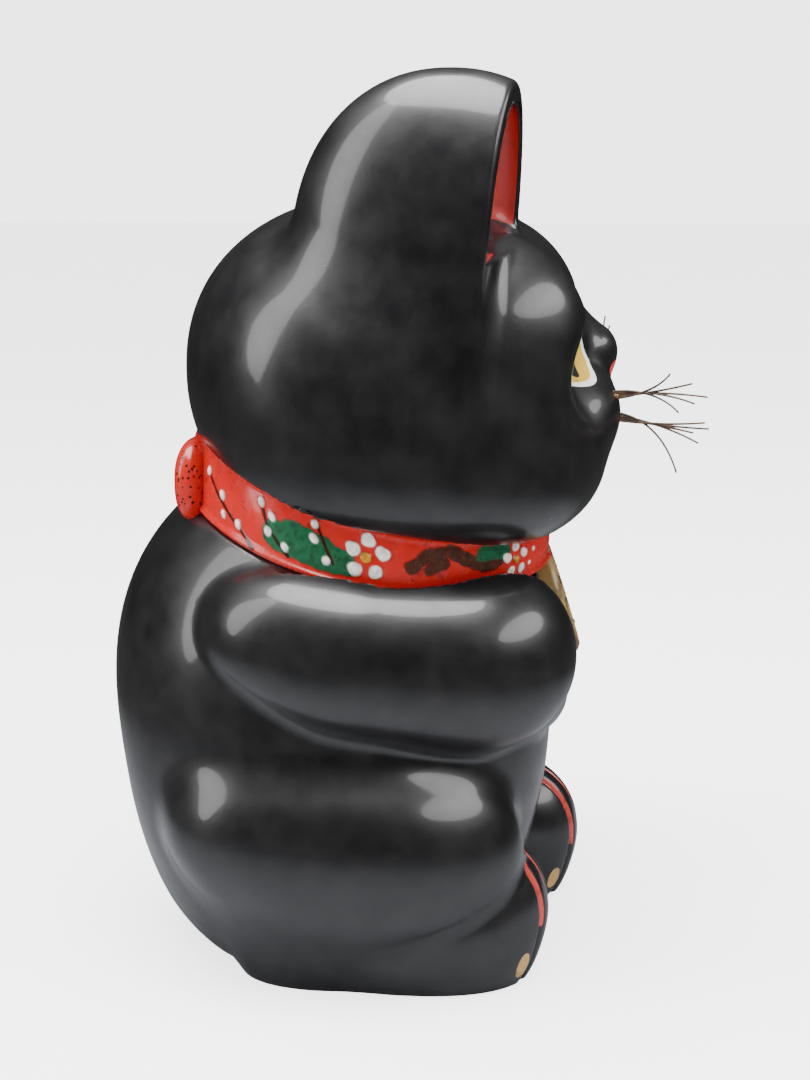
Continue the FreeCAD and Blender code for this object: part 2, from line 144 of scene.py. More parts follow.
def collar_edges(turn):
    """Radius front to back and height of the band's top and bottom edge, at an angle round it (90 degrees is
    the back). The band dips towards the chest and rises a little at both sides."""
    rise, saddle = np.sin(turn), np.cos(2 * turn)
    front = np.clip(-rise, 0, 1) ** 2
    return COLLAR[2] + 13 + 19.3 * rise - 5.4 * saddle, COLLAR[2] - 13 + 15.0 * rise - 5.0 * saddle + 4 * front


def collar_point(degrees, down, out):
    """A point on the band: angle round it, share of the way down, distance out from its face."""
    turn = np.radians(degrees)
    top, bottom = collar_edges(turn)
    x_radius = 76 + 2 * down + out
    y_radius = 76 + 1.5 * down + out - 4 * np.clip(-np.sin(turn), 0, 1)
    return np.stack([x_radius * np.cos(turn), COLLAR[1] + down + y_radius * np.sin(turn),
                     top + (bottom - top) * down], -1)


def collar_groove(reach):
    """The room that the band takes in the castings, as a field, out to a distance from the neck's axis."""
    def distance(p):
        x, y = p[..., 0], p[..., 1] - COLLAR[1] - 0.5
        top, bottom = collar_edges(np.arctan2(y, x))
        out = np.hypot(x, y)
        radius = 78 - 4 * np.clip(-y / np.maximum(out, 1), 0, 1)
        beside = np.maximum(radius - COLLAR_WALL - out, out - reach)
        return np.maximum(beside, np.maximum(p[..., 2] - top - 0.4, bottom - 0.4 - p[..., 2]))
    return distance


# ================================================================ the cat's parts, as fields
def make_body():
    trunk = join(28,
                 lump(BODY, (84, 86, 88), 2.1),
                 lump(BODY + (0, 0, 39), (80, 89, 80)),
                 lump(BODY + (0, 1, 75), (80, 89, 77), 2.0, turn_about("X", -8)))
    haunches = [join(16, lump(BODY + (side * 57, -7, -3), (45, 75, 49), 2.0, turn_about("X", 8)),
                     lump(BODY + (side * 48, -4, -48), (30, 46, 36), 2.2)) for side in (RIGHT, LEFT)]
    return carve(2, join(7, trunk, *haunches), collar_groove(82))


def make_head():
    skull = join(18, lump(SKULL, (93, 84, 71), 2.2), lump(SKULL + (0, -15, -28), (92, 78, 48), 2.5))
    brows = [lump(SKULL + (side * 50, -35, 16), (34, 47, 45)) for side in (RIGHT, LEFT)]
    head = join(14, skull, *brows)
    sockets = [lump(SKULL + (side * 45, -96, 3), (29, 22, 20)) for side in (RIGHT, LEFT)]
    head = carve(12, head, *sockets)
    nose = limb(SKULL + (0, -64, 22), SKULL + (0, -84, 6), 9, 12.5)
    puffs = [lump(SKULL + (side * 16, -74, -17), (27, 22.5, 20)) for side in (RIGHT, LEFT)]
    return carve(2, join(9, head, join(5, nose, *puffs)), collar_groove(82))


EAR_TURN = 13


class Ear:
    """A hood with a flat open face, turned outward, and a hollow pressed into the face."""

    def __init__(self, side):
        foot = SKULL + (side * 60, -27, 48)
        turn = turn_about("Z", side * EAR_TURN)
        self.out = turn @ (0, -1, -0.09)
        self.out /= np.linalg.norm(self.out)
        self.middle = foot + turn @ (0, -20, 0)
        height = EAR_HIGH[2] - foot[2]
        self.hood = lump(foot, (30, 64, height), 2.15, turn)
        self.hollow = lump(self.middle + (0, 0, -6), (23, 11, height - 4), 2.3, turn)

    def face(self, p):
        """Height above the open face's plane."""
        return (p - self.middle) @ self.out

    def filled(self, p):
        return soft_max(self.hood(p), self.face(p), 2.5)

    def __call__(self, p):
        hollow = np.maximum(self.hollow(p), self.middle[2] + 2 - p[:, 2])
        return soft_max(self.filled(p), -hollow, 1.5)


def make_right_arm():
    """Folded across the front, its paw under the coin."""
    shoulder = BODY + (-61, -7, 79)
    sleeve = join(22,
                  lump(shoulder, (38, 58, 34), 2.1, turn_about("X", 12)),
                  limb(shoulder + (0, -6, -2), shoulder + (12, -50, -6), 33, 35),
                  lump(shoulder + (10, -50, -6), (40, 43, 36), 2.1))
    return carve(2, join(12, sleeve, lump(shoulder + (39, -68, -30), (24, 25, 21))), collar_groove(82))


def make_left_arm():
    """Raised beside the head, its paw bent forward."""
    shoulder = BODY + (66, -18, 80)
    elbow, wrist, paw = shoulder + (32, -34, 26), shoulder + (36, -52, 82), shoulder + (34, -64, 112)
    arm = join(16, lump(shoulder, (37, 40, 35)), limb(shoulder + (16, -10, 4), elbow, 30, 26),
               limb(elbow, wrist, 26, 22))
    return carve(2, join(10, arm, lump(paw, (23, 23, 23))), collar_groove(81))


TOE_LINES = (-13, 0, 13)


def foot_middle(side):
    """The left foot stands a little further forward."""
    return np.array([side * 48, -20 - (LEFT_FOOT_LEAD if side == LEFT else 0), 22])


def make_foot(side):
    middle = foot_middle(side)
    foot = join(10, lump(middle + (0, 0, 4), (29, 44, 40), 2.4, turn_about("X", 16)),
                lump(middle + (side * 6, 12, -4), (28, 44, 28), 2.4))

    def gaps(p):
        return np.maximum(np.maximum(toe_gap(middle, p) - 0.8, -foot(p) - 2.0), p[:, 1] - middle[1] + 4)
    return carve(2.5, foot, gaps)


def toe_gap(middle, p):
    """Distance sideways from the nearest gap between two toes."""
    up = np.clip((p[:, 2] - middle[2]) / 30, 0, 1)
    return np.min([np.abs(p[:, 0] - middle[0] - x * (1 - 0.15 * up)) for x in TOE_LINES], 0)


def make_tail():
    return lump((10, BODY[1] + 85, 77), (22, 9, 12), 2.0, turn_about("Y", 12))


FIELDS = {
    "body": make_body(), "head": make_head(), "right_ear": Ear(RIGHT), "left_ear": Ear(LEFT),
    "right_arm": make_right_arm(), "left_arm": make_left_arm(),
    "right_foot": make_foot(RIGHT), "left_foot": make_foot(LEFT), "tail": make_tail(),
}
BLENDS = {"head": 3, "right_arm": 4, "left_arm": 4, "right_foot": 4, "left_foot": 4, "tail": 5}


def ear_blend(p):
    """The ear runs smoothly into the head behind, and meets it at a crease in front."""
    behind = np.clip((p[:, 1] - (SKULL[1] - 62)) / 25, 0, 1)
    return 3.5 + 8.5 * behind


def surface(neighbours):
    """The one outer surface, from the fields that matter nearby, always joined in the same order."""
    ordered = [name for name in FIELDS if name in neighbours]

    def distance(p):
        d = None
        for name in ordered:
            other = FIELDS[name](p)
            if d is None:
                d = other
            else:
                k = ear_blend(p) if name.endswith("ear") else BLENDS[name]
                d = soft_min(d, other, k)
        return d
    return distance


# ================================================================ meshing
def gradient(field, p, step=0.05):
    slope = np.empty_like(p)
    for axis in range(3):
        shift = np.zeros(3)
        shift[axis] = step
        slope[:, axis] = field(p + shift) - field(p - shift)
    return slope / (2 * step)


def settle(field, p, rounds=4):
    """Moves points onto the field's surface."""
    for _ in range(rounds):
        slope = gradient(field, p)
        p = p - slope * (field(p) / np.maximum((slope ** 2).sum(-1), 1e-6))[:, None]
    return p


def normals_of(field, p):
    slope = gradient(field, p)
    return slope / np.linalg.norm(slope, axis=-1, keepdims=True)


def skin(field, low, high, step):
    """Triangles over the field's surface inside a box: one point in each cell that the surface passes."""
    axes = [np.arange(low[i], high[i] + step, step) for i in range(3)]
    shape = tuple(len(a) for a in axes)
    grid = np.stack(np.meshgrid(*axes, indexing="ij"), -1).reshape(-1, 3)
    value = np.concatenate([field(part) for part in np.array_split(grid, max(1, len(grid) // 200000))])
    value = value.reshape(shape)
    inside = value < 0
    cells = tuple(n - 1 for n in shape)
    total, count = np.zeros(cells + (3,)), np.zeros(cells)
    crossings = []
    for axis in range(3):
        first = [slice(None)] * 3
        second = [slice(None)] * 3
        first[axis], second[axis] = slice(0, -1), slice(1, None)
        crossed = inside[tuple(first)] != inside[tuple(second)]
        index = np.argwhere(crossed)
        a, b = value[tuple(first)][crossed], value[tuple(second)][crossed]
        point = index.astype(float)
        point[:, axis] += a / (a - b)
        others = [i for i in range(3) if i != axis]
        for da in (0, 1):
            for db in (0, 1):
                cell = index.copy()
                cell[:, others[0]] -= da
                cell[:, others[1]] -= db
                ok = ((cell >= 0) & (cell < cells)).all(-1)
                np.add.at(total, tuple(cell[ok].T), point[ok])
                np.add.at(count, tuple(cell[ok].T), 1)
        crossings.append((axis, others, index, a < 0))
    number = np.full(cells, -1)
    used = count > 0
    number[used] = np.arange(used.sum())
    points = total[used] / count[used][:, None] * step + np.array(low)
    quads = []
    for axis, others, index, leaving in crossings:
        u, v = others
        inner = (index[:, u] > 0) & (index[:, v] > 0) & (index[:, u] < cells[u]) & (index[:, v] < cells[v])
        index, leaving = index[inner], leaving[inner]
        corners = []
        for du, dv in ((0, 0), (1, 0), (1, 1), (0, 1)):
            cell = index.copy()
            cell[:, u] -= du
            cell[:, v] -= dv
            corners.append(number[tuple(cell.T)])
        quad = np.stack(corners, -1)
        flip = leaving if axis != 1 else ~leaving
        quad[flip] = quad[flip][:, ::-1]
        quads.append(quad[:, ::-1])
    quads = np.concatenate(quads)
    points = settle(field, points)
    points = even_out(field, points, quads)
    one = np.linalg.norm(points[quads[:, 0]] - points[quads[:, 2]], axis=-1)
    two = np.linalg.norm(points[quads[:, 1]] - points[quads[:, 3]], axis=-1)
    short = one < two
    triangles = np.concatenate([quads[short][:, [0, 1, 2]], quads[short][:, [0, 2, 3]],
                                quads[~short][:, [0, 1, 3]], quads[~short][:, [1, 2, 3]]])
    return points, triangles


def even_out(field, points, quads, rounds=3):
    """Slides points along the surface, towards the middle of their neighbours."""
    edges = np.concatenate([quads[:, [0, 1]], quads[:, [1, 2]], quads[:, [2, 3]], quads[:, [3, 0]]])
    edges = np.concatenate([edges, edges[:, ::-1]])
    degree = np.bincount(edges[:, 0], minlength=len(points))[:, None]
    for _ in range(rounds):
        total = np.stack([np.bincount(edges[:, 0], points[edges[:, 1], i], len(points)) for i in range(3)], -1)
        points = settle(field, points * 0.5 + total / np.maximum(degree, 1) * 0.5, 1)
    return points


def split(points, triangles, value):
    """Cuts triangles along value 0. Returns the points, the triangles and which are on the positive side."""
    value = np.where(np.abs(value) < 1e-4, 1e-4, value)
    positive = value > 0
    sides = positive[triangles]
    mixed = sides.any(-1) & ~sides.all(-1)
    whole, cut = triangles[~mixed], triangles[mixed]
    alone = sides[mixed].sum(-1) == 1
    odd = np.where(alone, sides[mixed].argmax(-1), (~sides[mixed]).argmax(-1))
    rows = np.arange(len(cut))
    a, b, c = (cut[rows, (odd + i) % 3] for i in range(3))

    def keys(i, j):
        return np.minimum(i, j) * len(points) + np.maximum(i, j)
    unique, back = np.unique(np.concatenate([keys(a, b), keys(a, c)]), return_inverse=True)
    i, j = unique // len(points), unique % len(points)
    share = (value[i] / (value[i] - value[j]))[:, None]
    added = points[i] + share * (points[j] - points[i])
    ab, ac = back[:len(cut)] + len(points), back[len(cut):] + len(points)
    out = np.concatenate([whole, np.stack([a, ab, ac], -1), np.stack([ab, b, c], -1),
                          np.stack([ab, c, ac], -1)])
    lone = positive[a]
    sign = np.concatenate([positive[whole].all(-1), lone, ~lone, ~lone])
    return np.concatenate([points, added]), out, sign


def drop_unused(points, triangles):
    used, back = np.unique(triangles, return_inverse=True)
    return points[used], back.reshape(-1, 3)


def border_edges(triangles):
    """Directed edges that only one triangle has."""
    edges = np.concatenate([triangles[:, [0, 1]], triangles[:, [1, 2]], triangles[:, [2, 0]]])
    size = triangles.max() + 1
    forward = edges[:, 0] * size + edges[:, 1]
    backward = edges[:, 1] * size + edges[:, 0]
    return edges[~np.isin(forward, backward)]


# ================================================================ objects
def new_object(name, points, faces, normals=None, material_index=None, materials=()):
    """A smooth mesh from points in mm."""
    mesh = bpy.data.meshes.new(name)
    corners = faces.tolist() if isinstance(faces, np.ndarray) else faces
    mesh.from_pydata((np.asarray(points) * MM).tolist(), [], corners)
    for material in materials:
        mesh.materials.append(material)
    if material_index is not None:
        mesh.polygons.foreach_set("material_index", np.asarray(material_index, np.int32))
    mesh.polygons.foreach_set("use_smooth", np.ones(len(mesh.polygons), bool))
    if normals is not None:
        mesh.normals_split_custom_set(normals.tolist())
    mesh.update()
    obj = bpy.data.objects.new(name, mesh)
    bpy.context.scene.collection.objects.link(obj)
    return obj


def casting(name, node, own, others, box, step, paints=(), trims=(), wall=3.0):
    """One casting: its share of the common surface, painted regions cut out crisply, closed with a wall."""
    field = surface([own, *others])
    low, high = box
    step *= FACTOR

    def share(p):
        mine = FIELDS[own](p)
        rest = np.min([FIELDS[other](p) for other in others], axis=0)
        return mine - rest
    points, triangles = skin(field, np.array(low) - 2 * step, np.array(high) + 2 * step, step)
    for rule in [share, *trims]:
        points, triangles, beyond = split(points, triangles, rule(points))
        points, triangles = drop_unused(points, triangles[~beyond])
    for _, rule in paints:
        points, triangles, _ = split(points, triangles, rule(points))
    middle = points[triangles].mean(1)
    index = np.zeros(len(triangles), int)
    for number, (_, rule) in enumerate(paints, start=1):
        index[rule(middle) < 0] = number
    normal = normals_of(field, points)
    border = border_edges(triangles)
    inner = points - normal * wall
    count = len(points)
    rim_a = np.stack([border[:, 1], border[:, 0], border[:, 0] + count], -1)
    rim_b = np.stack([border[:, 1], border[:, 0] + count, border[:, 1] + count], -1)
    faces = np.concatenate([triangles, triangles[:, ::-1] + count, rim_a, rim_b])
    index = np.concatenate([index, np.zeros(len(faces) - len(triangles), int)])
    everything = np.concatenate([points, inner])
    flat = np.cross(everything[faces[:, 1]] - everything[faces[:, 0]],
                    everything[faces[:, 2]] - everything[faces[:, 0]])
    flat /= np.maximum(np.linalg.norm(flat, axis=-1, keepdims=True), 1e-9)
    loops = np.repeat(flat[:, None, :], 3, 1)
    loops[:len(triangles)] = normal[triangles]
    loops[len(triangles):2 * len(triangles)] = -normal[triangles[:, ::-1]]
    finishes = [GLAZE] + [paint for paint, _ in paints]
    obj = new_object(name, everything, faces, loops.reshape(-1, 3), index, finishes)
    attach(obj, "root")
    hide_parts(node)


# ================================================================ materials
def material(name, build):
    made = bpy.data.materials.new(name)
    made.use_nodes = True
    tree = made.node_tree
    build(tree, tree.nodes["Principled BSDF"])
    return made


def node(tree, kind, **values):
    made = tree.nodes.new(kind)
    for key, value in values.items():
        if key in made.inputs:
            made.inputs[key].default_value = value
        else:
            setattr(made, key, value)
    return made


def place_of(tree):
    """Coordinates on the object in metres, the same for every piece."""
    return node(tree, "ShaderNodeTexCoord").outputs["Object"]


def noise(tree, scale, detail=3.0, rough=0.5, distortion=0.0):
    made = node(tree, "ShaderNodeTexNoise", Scale=scale, Detail=detail, Roughness=rough, Distortion=distortion)
    tree.links.new(place_of(tree), made.inputs["Vector"])
    return made.outputs["Fac"]


def ramp(tree, factor, *stops):
    """Each stop is (position, colour)."""
    made = node(tree, "ShaderNodeValToRGB")
    ramp_colours = made.color_ramp
    while len(ramp_colours.elements) < len(stops):
        ramp_colours.elements.new(0.5)
    for element, (position, colour) in zip(ramp_colours.elements, stops):
        element.position = position
        element.color = (*colour, 1) if len(colour) == 3 else colour
    tree.links.new(factor, made.inputs["Fac"])
    return made.outputs["Color"]


def grey(value):
    return (value, value, value)


def bump(tree, shader, height, distance, under=None):
    """Relief in metres, laid over any relief under it."""
    made = node(tree, "ShaderNodeBump", Strength=1.0, Distance=distance)
    tree.links.new(height, made.inputs["Height"])
    if under is not None:
        tree.links.new(under, made.inputs["Normal"])
    tree.links.new(made.outputs["Normal"], shader.inputs["Normal"])
    return made.outputs["Normal"]


def build_glaze(tree, shader):
    """Black glaze: nearly mirror smooth, with an orange peel, slow waves, pits and crumbs of kiln dirt."""
    colour = ramp(tree, noise(tree, 90, 4), (0.35, (0.004, 0.004, 0.005)), (0.75, (0.011, 0.010, 0.011)))
    crumbs = node(tree, "ShaderNodeTexVoronoi", Scale=75.0)
    tree.links.new(place_of(tree), crumbs.inputs["Vector"])
    speck = ramp(tree, crumbs.outputs["Distance"], (0.035, grey(1)), (0.06, grey(0)))
    thin = ramp(tree, noise(tree, 38, 2), (0.66, grey(0)), (0.70, grey(1)))
    gate = node(tree, "ShaderNodeMath", operation="MULTIPLY")
    tree.links.new(speck, gate.inputs[0])
    tree.links.new(thin, gate.inputs[1])
    mix = node(tree, "ShaderNodeMix", data_type="RGBA")
    tree.links.new(gate.outputs[0], mix.inputs["Factor"])
    tree.links.new(colour, mix.inputs["A"])
    mix.inputs["B"].default_value = (0.22, 0.14, 0.08, 1)
    tree.links.new(mix.outputs["Result"], shader.inputs["Base Color"])
    tree.links.new(ramp(tree, noise(tree, 55, 5, 0.6), (0.3, grey(0.28)), (0.75, grey(0.42))),
                   shader.inputs["Roughness"])
    tree.links.new(ramp(tree, noise(tree, 34, 5, 0.6), (0.3, grey(0.05)), (0.75, grey(0.13))),
                   shader.inputs["Coat Roughness"])
    shader.inputs["Coat Weight"].default_value = 0.6
    shader.inputs["Specular IOR Level"].default_value = 0.7
    waves = bump(tree, shader, noise(tree, 28, 2), 0.00025)
    peel = bump(tree, shader, noise(tree, 700, 2), 0.00003, under=waves)
    bump(tree, shader, gate.outputs[0], 0.0003, under=peel)


def build_paint(base, worn, wear=0.6, roughness=0.28):
    """Brushed overglaze enamel, thinner and darker here and there."""
    def build(tree, shader):
        streak = noise(tree, 120, 6, 0.65, 0.4)
        tree.links.new(ramp(tree, streak, (wear - 0.25, base), (wear, base), (wear + 0.08, worn)),
                       shader.inputs["Base Color"])
        matt = ramp(tree, noise(tree, 200, 4), (0.3, grey(roughness - 0.08)), (0.7, grey(roughness + 0.1)))
        tree.links.new(matt, shader.inputs["Roughness"])
        shader.inputs["Coat Weight"].default_value = 0.3
        bump(tree, shader, noise(tree, 260, 5, 0.6), 0.00008)
    return build


def build_clay(tree, shader):
    tree.links.new(ramp(tree, noise(tree, 60, 8, 0.6), (0.3, (0.40, 0.22, 0.13)), (0.7, (0.60, 0.38, 0.25))),
                   shader.inputs["Base Color"])
    shader.inputs["Roughness"].default_value = 0.85
    bump(tree, shader, noise(tree, 900, 6, 0.7), 0.0003)


def build_collar(tree, shader):
    """Red enamel, with the painted marks taken from the mesh's own enamel colours."""
    build_paint((0.50, 0.012, 0.008), (0.22, 0.010, 0.008), 0.60, 0.22)(tree, shader)
    red = shader.inputs["Base Color"].links[0].from_socket
    marks = node(tree, "ShaderNodeAttribute", attribute_name="enamel")
    shade = ramp(tree, noise(tree, 420, 4), (0.30, grey(0.55)), (0.60, grey(1.0)))
    brushed = node(tree, "ShaderNodeMix", data_type="RGBA", blend_type="MULTIPLY")
    brushed.inputs["Factor"].default_value = 1.0
    tree.links.new(marks.outputs["Color"], brushed.inputs["A"])
    tree.links.new(shade, brushed.inputs["B"])
    mix = node(tree, "ShaderNodeMix", data_type="RGBA")
    tree.links.new(marks.outputs["Alpha"], mix.inputs["Factor"])
    tree.links.new(red, mix.inputs["A"])
    tree.links.new(brushed.outputs["Result"], mix.inputs["B"])
    tree.links.new(mix.outputs["Result"], shader.inputs["Base Color"])


def build_bow(tree, shader):
    """Red enamel with a sprinkle of tiny black specks."""
    build_paint((0.46, 0.012, 0.008), (0.20, 0.010, 0.008), 0.62, 0.22)(tree, shader)
    red = shader.inputs["Base Color"].links[0].from_socket
    grains = node(tree, "ShaderNodeTexVoronoi", Scale=420.0)
    tree.links.new(place_of(tree), grains.inputs["Vector"])
    dot = ramp(tree, grains.outputs["Distance"], (0.20, grey(1)), (0.28, grey(0)))
    mix = node(tree, "ShaderNodeMix", data_type="RGBA")
    tree.links.new(dot, mix.inputs["Factor"])
    tree.links.new(red, mix.inputs["A"])
    mix.inputs["B"].default_value = (0.02, 0.008, 0.006, 1)
    tree.links.new(mix.outputs["Result"], shader.inputs["Base Color"])


GLAZE = material("black_glaze", build_glaze)
COLLAR_PAINT = material("collar_enamel", build_collar)
BOW_PAINT = material("bow_enamel", build_bow)
EAR_RED = material("ear_red", build_paint((0.36, 0.014, 0.010), (0.26, 0.012, 0.010), 0.6, 0.42))
TOE_RED = material("toe_red", build_paint((0.50, 0.04, 0.03), (0.25, 0.02, 0.02), 0.55, 0.35))
YELLOW = material("eye_yellow", build_paint((0.62, 0.40, 0.05), (0.50, 0.30, 0.04), 0.6))
WHITE = material("white_enamel", build_paint((0.82, 0.84, 0.80), (0.60, 0.68, 0.70), 0.6))
CLAW_GOLD = material("claw_gold", build_paint((0.42, 0.25, 0.08), (0.25, 0.14, 0.05), 0.55, 0.3))
CLAY = material("bare_clay", build_clay)
GOLD = material("gold_enamel", build_paint((0.30, 0.20, 0.07), (0.10, 0.06, 0.03), 0.5, 0.35))
BRISTLE = material("bristle", build_paint((0.10, 0.055, 0.03), (0.05, 0.03, 0.02), 0.5, 0.45))
GLUE = material("glue", build_paint((0.30, 0.16, 0.05), (0.16, 0.08, 0.03), 0.5, 0.25))


# ================================================================ painted regions
EYE_RISE = 9
FACE_BACK = SKULL[1] - 40


def eye_field(side, grow=0.0):
    """A slanted almond, in the plane that the face looks out of."""
    centre = SKULL + (side * 36, 0, EYE_RISE)
    tilt = side * math.radians(14)
    half, bulge = 15.0, 11.0
    radius = (half ** 2 + bulge ** 2) / (2 * bulge)

    def distance(p):
        x, z = p[:, 0] - centre[0], p[:, 2] - centre[2]
        u = x * math.cos(tilt) + z * math.sin(tilt)
        v = -x * math.sin(tilt) + z * math.cos(tilt)
        lower = np.hypot(u, v - (radius - bulge)) - radius
        upper = np.hypot(u, v + (radius - bulge)) - radius
        return np.maximum(np.maximum(lower, upper) - grow, p[:, 1] - FACE_BACK)
    return distance


def pupil_field(side):
    centre = SKULL + (side * 34, 0, EYE_RISE)

    def distance(p):
        x, z = (p[:, 0] - centre[0]) / 4.2, (p[:, 2] - centre[2]) / 9.5
        return np.maximum((np.hypot(x, z) - 1) * 4.2, p[:, 1] - FACE_BACK)
    return distance


def nose_tip(p):
    return lump(SKULL + (0, -94, -1.5), (9, 7, 5.5))(p)


def toe_marks(side):
    """Brush lines over the gaps between the toes, from the top of the foot down its front."""
    middle = foot_middle(side)

    def distance(p):
        height = middle[2] + 2 - p[:, 2]
        front = p[:, 1] - middle[1] + 20
        return np.maximum(np.maximum(toe_gap(middle, p) - 1.7, height), front)
    return distance


def claw_marks(side):
    """A dab of gold on the front of each toe."""
    middle = foot_middle(side)
    claws = [lump(middle + (x, -40 + 0.012 * x * x, -14), (3.4, 5, 7)) for x in (-19.5, -6.5, 6.5, 19.5)]
    return join(0.1, *claws)


def ear_paint(ear):
    """The hollow, a millimetre in from the ear's rim."""
    def distance(p):
        return ear.filled(p) + 1.0
    return distance


def under_floor(p):
    """What lies below the floor is cut away."""
    return -p[:, 2]


# ================================================================ build the castings
def region(node, margin=6.0):
    """A node's box with room round it, since the smooth surface strays a little from the CAD solid."""
    low, high = node_box(node)
    return low - margin, high + margin


def make_castings():
    face = []
    for side in (RIGHT, LEFT):
        face += [(WHITE, eye_field(side, 1.8)), (YELLOW, eye_field(side)), (GLAZE, pupil_field(side))]
    face.append((TOE_RED, nose_tip))
    casting("cat_head", "head_casting", "head", ["body", "right_ear", "left_ear"],
            region("head_casting"), 1.8, face)
    casting("cat_body", "body_casting", "body",
            ["head", "right_arm", "left_arm", "right_foot", "left_foot", "tail"],
            region("body_casting"), 2.4, trims=[under_floor])
    for side, word in ((RIGHT, "right"), (LEFT, "left")):
        ear, arm, foot = f"{word}_ear", f"{word}_arm", f"{word}_foot"
        casting(f"cat_{ear}", ear, ear, ["head"], region(ear), 1.2,
                [(EAR_RED, ear_paint(FIELDS[ear]))], wall=2.0)
        casting(f"cat_{arm}", arm, arm, ["body", "head"], region(arm, margin=12), 1.8)
        casting(f"cat_{foot}", foot, foot, ["body"], region(foot, margin=12), 1.2,
                [(TOE_RED, toe_marks(side)), (CLAW_GOLD, claw_marks(side))], [under_floor], wall=2.0)
    casting("cat_tail", "tail", "tail", ["body"], region("tail"), 1.5, wall=2.0)


# ================================================================ collar, bow, coin and whiskers
def paint_stroke(points, radius, colour, raised=0.0):
    """A brush stroke on the band: points are (degrees round it, share of the way down)."""
    return points, radius, colour, raised


PETAL, POLLEN, LEAF = (0.86, 0.84, 0.78), (0.62, 0.30, 0.02), (0.012, 0.105, 0.045)
BARK, TWIG = (0.075, 0.022, 0.012), (0.035, 0.010, 0.006)


def blossom(centre, petals, radius):
    strokes = [paint_stroke([petal], radius, PETAL, 0.8) for petal in petals]
    return strokes + [paint_stroke([centre], radius * 0.75, POLLEN, 1.2)]


def collar_strokes():
    """Plum twigs with buds, leaves and two open blossoms, painted on each side of the band."""
    twigs = [[(121, 0.35), (127, 0.53), (144, 0.93)], [(146, 0.26), (149, 0.54), (156, 0.81)],
             [(165, 0.21), (170, 0.68)]]
    buds = [(120, 0.32), (129, 0.48), (130, 0.73), (137, 0.73), (146, 0.23), (150, 0.35), (149, 0.58),
            (155, 0.70), (164, 0.19), (164, 0.40), (168, 0.67)]
    strokes = [paint_stroke([(151, 0.58), (160, 0.62), (173, 0.62)], 5.6, LEAF, 0.15),
               paint_stroke([(156, 0.40), (168, 0.45)], 3.6, LEAF, 0.15),
               paint_stroke([(193, 0.50), (198, 0.28), (202, 0.22), (203, 0.38), (199, 0.50)], 2.9,
                            BARK, 0.3),
               paint_stroke([(206, 0.20), (211, 0.34), (218, 0.48), (224, 0.42)], 3.4, BARK, 0.3),
               paint_stroke([(217, 0.26), (227, 0.26)], 3.6, LEAF, 0.2)]
    strokes += [paint_stroke(twig, 0.75, TWIG, 0.2) for twig in twigs]
    strokes += [paint_stroke([bud], 1.7, PETAL, 0.9) for bud in buds]
    strokes += blossom((179.5, 0.45),
                       [(175.7, 0.36), (180, 0.19), (184.3, 0.35), (182.4, 0.66), (176.6, 0.66)], 2.9)
    strokes += blossom((232, 0.48),
                       [(232, 0.24), (227.6, 0.42), (236.4, 0.41), (229.6, 0.70), (235, 0.72)], 2.6)
    strokes += [paint_stroke([bud], 1.3, PETAL, 0.6) for bud in ((244, 0.16), (243, 0.42), (240, 0.67))]
    return strokes


def stroke_distance(degrees, down, points):
    """Distance on the band's face, in mm, from a stroke's centre line."""
    here = np.stack([degrees * 1.34, down * 26.0], -1)
    path = np.array([(a * 1.34, t * 26.0) for a, t in points])
    nearest = np.linalg.norm(here - path[0], axis=-1)
    for start, end in zip(path[:-1], path[1:]):
        along = end - start
        share = np.clip((here - start) @ along / (along @ along), 0, 1)
        nearest = np.minimum(nearest, np.linalg.norm(here - start - share[..., None] * along, axis=-1))
    return nearest


def make_collar():
    """The band, with a rolled lower edge and enamel painted in relief."""
    around, rows = int(960 / FACTOR), int(56 / FACTOR)
    degrees, down = np.meshgrid(np.arange(around) * 360 / around, np.linspace(0, 1, rows), indexing="ij")
    mirrored_degrees = np.where(np.cos(np.radians(degrees)) > 0, (180 - degrees) % 360, degrees)
    colour, cover = np.zeros(degrees.shape + (3,)), np.zeros(degrees.shape)
    out = 0.9 * np.sin(np.pi * down) + 1.5 * np.exp(-((down - 0.94) / 0.05) ** 2)
    out += 0.5 * np.exp(-((down - 0.04) / 0.05) ** 2)
    relief = np.zeros(degrees.shape)
    wobble = 0.5 * np.sin(mirrored_degrees * 0.9) * np.sin(down * 17 + mirrored_degrees * 0.4)
    for points, radius, tint, raised in collar_strokes():
        gap = stroke_distance(mirrored_degrees, down, points) - radius - wobble * min(radius, 3.0) / 3.0
        inside = np.clip(0.5 - gap / 0.5, 0, 1)
        colour = colour * (1 - inside[..., None]) + np.array(tint) * inside[..., None]
        cover = np.maximum(cover, inside)
        relief = np.maximum(relief, raised * np.sqrt(np.clip(-gap / radius + 0.1, 0, 1)))
    face = collar_point(degrees, down, out + relief)
    back = collar_point(degrees, down, -COLLAR_WALL)[:, ::-1]
    ring = np.concatenate([face, back], 1)
    height = ring.shape[1]
    number = np.arange(around * height).reshape(around, height)
    ahead, below = np.roll(number, -1, 0), np.roll(number, -1, 1)
    faces = np.stack([number, below, np.roll(ahead, -1, 1), ahead], -1).reshape(-1, 4)
    obj = new_object("collar", ring.reshape(-1, 3), faces, materials=[COLLAR_PAINT])
    tints = np.zeros((around, height, 4))
    tints[:, :rows, :3], tints[:, :rows, 3] = colour, cover
    obj.data.attributes.new("enamel", "FLOAT_COLOR", "POINT").data.foreach_set("color", tints.ravel())
    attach(obj, "root")
    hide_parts("collar_band")


def closed_piece(name, replaced, field, low, high, step, finish):
    """A whole solid meshed from its own field."""
    points, triangles = skin(field, np.array(low), np.array(high), step * FACTOR)
    normals = normals_of(field, points)[triangles].reshape(-1, 3)
    obj = new_object(name, points, triangles, normals, materials=[finish])
    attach(obj, "root")
    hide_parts(replaced)


